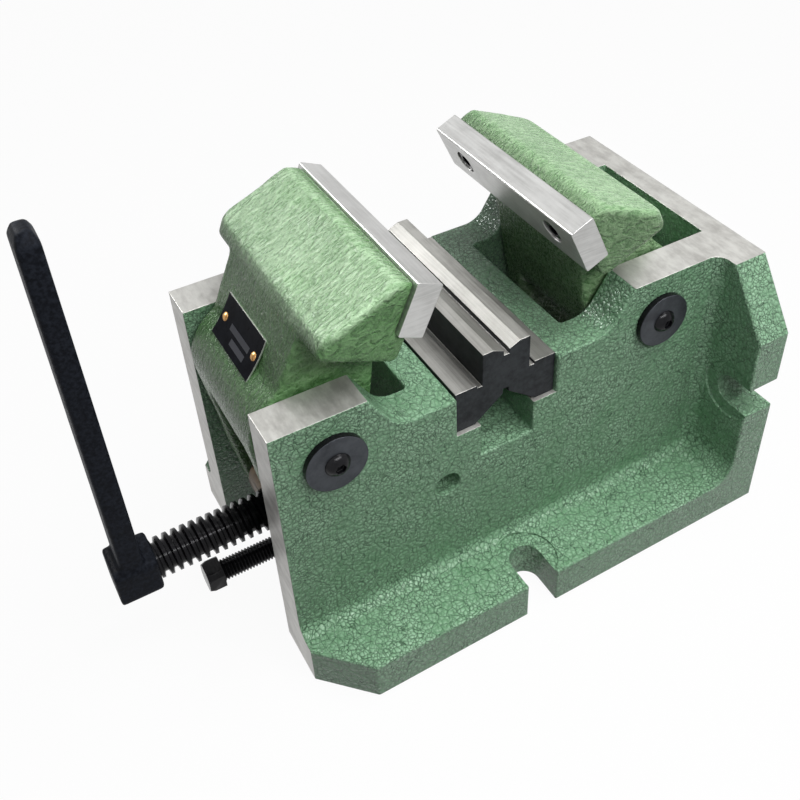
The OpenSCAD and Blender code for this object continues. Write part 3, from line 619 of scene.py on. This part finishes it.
# ---------------------------------------------------------------------------
# V-block
# A reversible hardened block that slides across the base; its shoulders, rib
# top and small vee are ground, the flanks and ends stay black from the heat.
# ---------------------------------------------------------------------------
block_edge = 0.0003
ground_slope = 0.3
ground_block = metal("Ground block steel", light=(0.47, 0.465, 0.44), dark=(0.30, 0.295, 0.275),
                     along=(1300, 30, 1300), roughness=0.34, relief=0.000015, Metallic=0.8)
black_block = metal("Blackened block steel", light=(0.036, 0.040, 0.044),
                    dark=(0.010, 0.011, 0.013), along=(300, 300, 300), roughness=0.38,
                    relief=0.00003, Metallic=0.3, Specular_IOR_Level=0.1)
bm = clean_copy("v_block")
for face in bm.faces:
    face.material_index = 0 if face.normal.z > ground_slope else 1
widest = set_radii(bm, lambda edge: block_edge)
block = as_piece("v_block_ground", bm, [ground_block, black_block], widest)
stands_for(block, "v_block")

# ---------------------------------------------------------------------------
# Lead screw
# One blackened bar with a right-hand thread under the left jaw and a left-hand
# one under the right; a plain neck between two collars holds it in its yoke.
# ---------------------------------------------------------------------------
screw_z = 0.0418
screw_major = 0.009
screw_depth = 0.00225
screw_pitch = 0.004
neck_half = 0.011
neck_r = 0.007
collar = 0.003
collar_edge = 0.0004
screw_left = 0.1449
screw_right = 0.122
tip_bevel = 0.0008
square_r = 0.0058
square_reach = 0.015
square_inside = 0.004
thread_short = 0.0005
core_gap = 0.0001
past_row = (0.1, 0.35, 0.6, 0.85)


def thread_tree():
    """Geometry nodes that wrap a thread's profile round the X axis.

    Five rows of points make the profile: the root's start and end, the crest's
    start and end, and the next root's start.
    """
    tree = bpy.data.node_groups.new("Rolled thread", "GeometryNodeTree")
    sockets = {}
    sizes = ("Start", "End", "Major radius", "Depth", "Pitch", "Crest", "Flank", "Hand", "Height")
    kinds = {"Geometry": "Geometry", "Steps": "Int", "Material": "Material"}
    kinds.update({size: "Float" for size in sizes})
    for label, kind in kinds.items():
        socket_type = "NodeSocket" + kind
        sockets[label] = tree.interface.new_socket(label, in_out="INPUT", socket_type=socket_type)
    tree.interface.new_socket("Geometry", in_out="OUTPUT", socket_type="NodeSocketGeometry")
    i = tree.nodes.new("NodeGroupInput").outputs
    span = maths(tree, "SUBTRACT", i["End"], i["Start"])
    turns = maths(tree, "CEIL", maths(tree, "ADD", maths(tree, "DIVIDE", span, i["Pitch"]), 1.0))
    grid = tree.nodes.new("GeometryNodeMeshGrid")
    grid.inputs["Size X"].default_value = 1.0
    grid.inputs["Size Y"].default_value = 1.0
    grid.inputs["Vertices Y"].default_value = len(past_row) + 1
    columns = maths(tree, "ADD", maths(tree, "MULTIPLY", turns, i["Steps"]), 1.0)
    tree.links.new(columns, grid.inputs["Vertices X"])
    position = tree.nodes.new("GeometryNodeInputPosition")
    parts = tree.nodes.new("ShaderNodeSeparateXYZ")
    tree.links.new(position.outputs[0], parts.inputs[0])
    along = maths(tree, "MULTIPLY", maths(tree, "ADD", parts.outputs[0], 0.5), turns)
    across = maths(tree, "ADD", parts.outputs[1], 0.5)
    raised = maths(tree, "ADD", i["Crest"], maths(tree, "MULTIPLY", i["Flank"], 2.0))
    root = maths(tree, "SUBTRACT", 1.0, raised)
    shift = 0.0
    for limit, share in zip(past_row, (root, i["Flank"], i["Crest"], i["Flank"])):
        step = maths(tree, "MULTIPLY", maths(tree, "GREATER_THAN", across, limit), share)
        shift = maths(tree, "ADD", shift, step)
    turned = maths(tree, "SUBTRACT", maths(tree, "ADD", along, shift), 1.0)
    raw = maths(tree, "ADD", i["Start"], maths(tree, "MULTIPLY", turned, i["Pitch"]))
    held = maths(tree, "MINIMUM", maths(tree, "MAXIMUM", raw, i["Start"]), i["End"])
    crest = within(tree, across, past_row[1], past_row[3])
    radius = maths(tree, "SUBTRACT", i["Major radius"],
                   maths(tree, "MULTIPLY", i["Depth"], maths(tree, "SUBTRACT", 1.0, crest)))
    angle = maths(tree, "MULTIPLY", maths(tree, "MULTIPLY", along, 2 * math.pi), i["Hand"])
    point = tree.nodes.new("ShaderNodeCombineXYZ")
    tree.links.new(held, point.inputs[0])
    tree.links.new(maths(tree, "MULTIPLY", radius, maths(tree, "COSINE", angle)), point.inputs[1])
    rise = maths(tree, "MULTIPLY", radius, maths(tree, "SINE", angle))
    tree.links.new(maths(tree, "ADD", i["Height"], rise), point.inputs[2])
    moved = tree.nodes.new("GeometryNodeSetPosition")
    tree.links.new(grid.outputs["Mesh"], moved.inputs["Geometry"])
    tree.links.new(point.outputs[0], moved.inputs["Position"])
    merged = tree.nodes.new("GeometryNodeMergeByDistance")
    merged.inputs["Distance"].default_value = 0.00002
    tree.links.new(moved.outputs[0], merged.inputs["Geometry"])
    real = tree.nodes.new("GeometryNodeRealizeInstances")
    tree.links.new(merged.outputs[0], real.inputs[0])
    finish = tree.nodes.new("GeometryNodeSetMaterial")
    tree.links.new(real.outputs[0], finish.inputs["Geometry"])
    tree.links.new(i["Material"], finish.inputs["Material"])
    tree.links.new(finish.outputs[0], tree.nodes.new("NodeGroupOutput").inputs[0])
    return tree, sockets


thread, thread_inputs = thread_tree()


def grown(name, tree, sockets, **values):
    """Bakes a geometry node tree with its own values to a plain mesh."""
    holder = bpy.data.objects.new(name, bpy.data.meshes.new(name))
    bpy.context.scene.collection.objects.link(holder)
    grower = holder.modifiers.new("grown", "NODES")
    grower.node_group = tree
    for key, value in values.items():
        grower[sockets[key.replace("_", " ")].identifier] = value
    graph = bpy.context.evaluated_depsgraph_get()
    mesh = bpy.data.meshes.new_from_object(holder.evaluated_get(graph))
    bpy.data.objects.remove(holder)
    return mesh


def turned_bar(bm, profile, steps=64):
    """Adds a bar turned about the screw's axis; the profile lists (x, radius)."""
    rings = []
    for x, r in profile:
        rings.append([
            bm.verts.new((x, r * math.cos(a), screw_z + r * math.sin(a)))
            for a in (2 * math.pi * k / steps for k in range(steps))
        ])
    for low, high in zip(rings, rings[1:]):
        for k in range(steps):
            n = (k + 1) % steps
            bm.faces.new((low[k], low[n], high[n], high[k]))
    bm.faces.new(rings[0])
    bm.faces.new(list(reversed(rings[-1])))


screw_black = metal("Oiled black screw steel", light=(0.014, 0.014, 0.016),
                    dark=(0.003, 0.003, 0.004), along=(1200, 200, 200), roughness=0.16,
                    relief=0.00001, Metallic=0.15, Specular_IOR_Level=0.12)

bm = bmesh.new()
neck_end = neck_half + collar
threaded = ((-screw_left, -neck_end, 1.0), (neck_end, screw_right - thread_short, -1.0))
for start, end, hand in threaded:
    bm.from_mesh(grown(
        "thread", thread, thread_inputs, Start=start, End=end, Hand=hand,
        Major_radius=screw_major, Depth=screw_depth, Pitch=screw_pitch, Crest=0.35, Flank=0.17,
        Steps=40, Height=screw_z, Material=screw_black,
    ))
collar_side = [(neck_half, neck_r), (neck_half, screw_major - collar_edge),
               (neck_half + collar_edge, screw_major), (neck_end - collar_edge, screw_major),
               (neck_end, screw_major - collar_edge)]
turned_bar(bm, [(-x, r) for x, r in reversed(collar_side)] + collar_side)
tip_r = screw_major - screw_depth - core_gap
turned_bar(bm, [(screw_right - screw_pitch, tip_r), (screw_right - tip_bevel, tip_r),
                (screw_right, tip_r - tip_bevel)])
turned_bar(bm, [(-screw_left - square_reach, square_r),
                (-screw_left + square_inside, square_r)], steps=4)
bmesh.ops.recalc_face_normals(bm, faces=bm.faces)
lead_screw = as_piece("lead_screw_threaded", bm, [screw_black])
stands_for(lead_screw, "lead_screw")

# ---------------------------------------------------------------------------
# Trunnion nuts, neck block and yoke
# Bronze nuts hang on steel pins in the forks; the screw's neck runs in a split
# bronze block, whose tongues float up and down in a milled steel yoke.
# ---------------------------------------------------------------------------
nut_edge = 0.0005
neck_block_edge = 0.0003
yoke_edge = 0.0002
small_screw_edge = 0.0002
# Bronze darkened far below its bare colour: partly oil, partly painted shade for the shadowed well
# the nuts hang in.
oiled_bronze_painted_shade = metal("Oiled bronze in painted shade", light=(0.10, 0.068, 0.036), dark=(0.035, 0.024, 0.013),
                    along=(500, 500, 60), roughness=0.3, relief=0.00002, Metallic=0.85)
milled_steel = metal("Milled yoke steel", light=(0.42, 0.42, 0.43), dark=(0.24, 0.24, 0.25),
                     along=(50, 800, 800), roughness=0.34, relief=0.00002, Metallic=0.85)
for side in ("left", "right"):
    dressed(side + "_nut", side + "_trunnion_nut", [oiled_bronze_painted_shade], nut_edge)
    dressed(side + "_nut_pins", side + "_trunnion_pins", [milled_steel], pin_edge)
dressed("neck_block_lower", "neck_block_lower_bronze", [oiled_bronze_painted_shade], neck_block_edge)
dressed("neck_block_upper", "neck_block_upper_bronze", [oiled_bronze_painted_shade], neck_block_edge)
dressed("neck_block_screws", "neck_block_cap_screws",
        [black_screw], small_screw_edge)
dressed("screw_yoke", "screw_yoke_milled", [milled_steel], yoke_edge)
dressed("yoke_screws", "yoke_cap_screws", [black_screw], screw_edge)

# ---------------------------------------------------------------------------
# Crank
# A forged flat handle with a square hub, dipped in black that dried rough; a
# hidden set screw below holds it on the screw's square.
# ---------------------------------------------------------------------------
set_screw_edge = 0.0001
crank_black, nodes, shader = new_finish("Rough black crank coat", Specular_IOR_Level=0.05,
                                        Metallic=0.0)
coords = nodes.nodes.new("ShaderNodeTexCoord").outputs["Object"]
pits = add(nodes, "ShaderNodeTexNoise", "rough coat", Scale=620.0, Detail=4.0, Roughness=0.6)
nodes.links.new(coords, pits.inputs["Vector"])
runs = add(nodes, "ShaderNodeTexNoise", "runs", Scale=120.0, Detail=2.0)
nodes.links.new(coords, runs.inputs["Vector"])
worn = stepped(nodes, pits.outputs["Fac"], 0.35, 0.7)
tone = blended(nodes, worn, (0.006, 0.007, 0.010, 1), (0.020, 0.023, 0.031, 1))
gloss = stepped(nodes, pits.outputs["Fac"], 0.3, 0.7, 0.42, 0.6)
relief = summed(nodes, (pits.outputs["Fac"], 1.0), (runs.outputs["Fac"], 0.8))
finish_with(nodes, shader, tone, gloss, relief, depth=0.00025, strength=0.8)
crank = as_piece("crank_handle_black", clean_copy("crank_handle"), [crank_black])
stands_for(cast_skin(crank, flow_steps=14, wave=0.0), "crank_handle")
dressed("crank_set_screw", "crank_grub_screw", [black_screw], set_screw_edge)

# ---------------------------------------------------------------------------
# Centring bolt
# A square-head bolt through the tapped wall of the base; its end meets the
# yoke and sets the middle of the screw.
# ---------------------------------------------------------------------------
bolt_z = 0.0154
bolt_left = 0.1189
bolt_end = 0.0163
bolt_major = 0.005
bolt_pitch = 0.0015
bolt_depth = 0.0008
head_gap = 0.0002
bm = bmesh.new()
bm.from_mesh(grown(
    "thread", thread, thread_inputs, Start=-bolt_left + head_gap, End=-bolt_end, Hand=1.0,
    Major_radius=bolt_major, Depth=bolt_depth, Pitch=bolt_pitch, Crest=0.2, Flank=0.36,
    Steps=28, Height=bolt_z, Material=screw_black,
))
head = clean_copy("centring_bolt")
shank = [face for face in head.faces if face.calc_center_median().x > -bolt_left + head_gap / 2]
bmesh.ops.delete(head, geom=shank, context="FACES")
head_mesh = bpy.data.meshes.new("bolt_head")
head.to_mesh(head_mesh)
head.free()
bm.from_mesh(head_mesh)
bolt = as_piece("centring_bolt_threaded", bm, [screw_black])
stands_for(bolt, "centring_bolt")

# ---------------------------------------------------------------------------
# Studio
# A white sweep under a pale sky, a softbox overhead and a strip at the front;
# a card behind shows in the gloss alone, as the photograph's highlights do.
# ---------------------------------------------------------------------------
floor_half = 6.0
floor_drop = 0.0003
floor_mesh = bmesh.new()
bmesh.ops.create_grid(floor_mesh, x_segments=4, y_segments=4, size=floor_half)
bmesh.ops.translate(floor_mesh, verts=floor_mesh.verts, vec=(0, 0, -floor_drop))
paper, nodes, shader = new_finish("White paper", Roughness=0.9)


def ray_sees(tree):
    """One for the rays that show the background: camera, gloss and glass."""
    rays = tree.nodes.new("ShaderNodeLightPath").outputs
    seen = maths(tree, "MAXIMUM", rays["Is Camera Ray"], rays["Is Glossy Ray"])
    return maths(tree, "MAXIMUM", seen, rays["Is Transmission Ray"])


seen = ray_sees(nodes)
paper_tone = blended(nodes, seen, (0.08, 0.08, 0.08, 1), (0.8, 0.8, 0.8, 1))
nodes.links.new(paper_tone, shader.inputs["Base Color"])
glow = add(nodes, "ShaderNodeEmission", Color=(1, 1, 1, 1), Strength=1.0)
both = nodes.nodes.new("ShaderNodeMixShader")
nodes.links.new(maths(nodes, "MULTIPLY", seen, 0.95), both.inputs[0])
nodes.links.new(shader.outputs[0], both.inputs[1])
nodes.links.new(glow.outputs[0], both.inputs[2])
out = next(n for n in nodes.nodes if n.type == "OUTPUT_MATERIAL")
nodes.links.new(both.outputs[0], out.inputs["Surface"])
floor = bpy.data.objects.new("floor", bpy.data.meshes.new("floor"))
floor_mesh.to_mesh(floor.data)
floor_mesh.free()
floor.data.materials.append(paper)
bpy.context.scene.collection.objects.link(floor)

world = bpy.data.worlds.new("Studio sky")
bpy.context.scene.world = world
world.use_nodes = True
tree = world.node_tree
tree.nodes.clear()
fill = add(tree, "ShaderNodeBackground", Color=(0.95, 0.98, 1.0, 1), Strength=0.07)
white = add(tree, "ShaderNodeBackground", Color=(1, 1, 1, 1), Strength=1.0)
both = tree.nodes.new("ShaderNodeMixShader")
tree.links.new(ray_sees(tree), both.inputs[0])
tree.links.new(fill.outputs[0], both.inputs[1])
tree.links.new(white.outputs[0], both.inputs[2])
tree.links.new(both.outputs[0], tree.nodes.new("ShaderNodeOutputWorld").inputs["Surface"])


def lamp(name, kind, energy, position, target, **settings):
    """A lamp that points at a place on the vise."""
    data = bpy.data.lights.new(name, kind)
    data.energy = energy
    for key, value in settings.items():
        setattr(data, key, value)
    lamp_object = bpy.data.objects.new(name, data)
    aim = (Vector(target) - Vector(position)).to_track_quat("-Z", "Y")
    lamp_object.matrix_world = Matrix.Translation(position) @ aim.to_matrix().to_4x4()
    bpy.context.scene.collection.objects.link(lamp_object)
    return lamp_object


sky_window = lamp("sky window", "SUN", energy=0.9, position=(0.25, -0.10, 1.0), target=(0, 0, 0.05),
                  angle=math.radians(40))
sky_window.visible_glossy = False
lamp("overhead softbox", "AREA", energy=1.9, position=(0.20, -0.12, 0.68), target=(0, 0, 0.1),
     shape="SQUARE", size=0.4)
gloss_card = lamp("gloss card", "AREA", energy=3.0, position=(-0.33, 0.41, 0.54),
                  target=(-0.08, 0, 0.16), shape="SQUARE", size=0.2)
gloss_card.visible_diffuse = False
lamp("front strip", "AREA", energy=1.8, position=(0.05, -0.42, 0.52), target=(0, 0, 0.1),
     shape="RECTANGLE", size=0.5, size_y=0.05)

focal_pixels = 1011.077
image_pixels = 800
camera_place = (-0.173828, -0.298319, 0.391011)
camera_angles = (-29.365, 38.018, -1.955)
camera_shift = (-0.0375, -0.125)
camera_data = bpy.data.cameras.new("camera")
camera_data.sensor_fit = "HORIZONTAL"
camera_data.sensor_width = 36
camera_data.lens = focal_pixels * camera_data.sensor_width / image_pixels
camera_data.shift_x, camera_data.shift_y = camera_shift
camera_data.clip_start = 0.01
turn, rise, roll = (math.radians(a) for a in camera_angles)
level = math.cos(rise)
forward = Vector((-math.sin(turn) * level, math.cos(turn) * level, -math.sin(rise)))
right = forward.cross(Vector((0, 0, 1))).normalized()
up = right.cross(forward)
across = math.cos(roll) * right + math.sin(roll) * up
upward = -math.sin(roll) * right + math.cos(roll) * up
camera = bpy.data.objects.new("camera", camera_data)
aimed = Matrix((across, upward, -forward)).transposed()
camera.matrix_world = Matrix.Translation(camera_place) @ aimed.to_4x4()
bpy.context.scene.collection.objects.link(camera)
bpy.context.scene.camera = camera
bpy.context.scene.view_settings.view_transform = "Standard"
